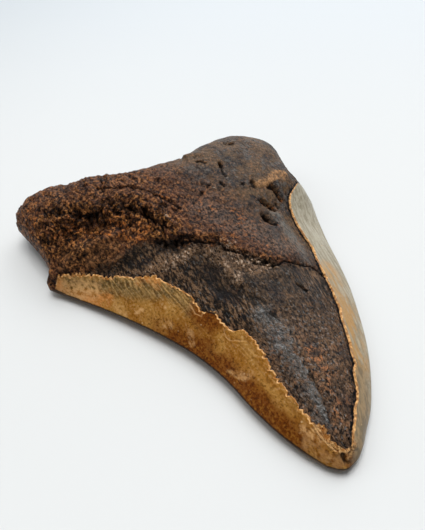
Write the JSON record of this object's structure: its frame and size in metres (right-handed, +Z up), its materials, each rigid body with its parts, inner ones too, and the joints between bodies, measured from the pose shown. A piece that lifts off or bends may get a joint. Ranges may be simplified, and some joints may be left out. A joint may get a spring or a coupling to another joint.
{
  "type": "fossil shark tooth",
  "caption": "Large triangular fossil shark tooth lying flat, with a rough two-lobed root, a bared dark middle and amber enamel along both cutting edges.",
  "frame": {"origin": "on the surface the tooth lies on, under the middle of its bounding box", "axes": "+X across the tooth, +Y from the tip to the root, +Z up through its thickness, towards the bulging tongue side"},
  "size_m": [0.0982, 0.1253, 0.0219],
  "materials": {
    "fossil": "worn satin fossil, glossy on the enamel"
  },
  "bodies": {
    "root": {"tooth": "fossil"}
  },
  "joints": []
}
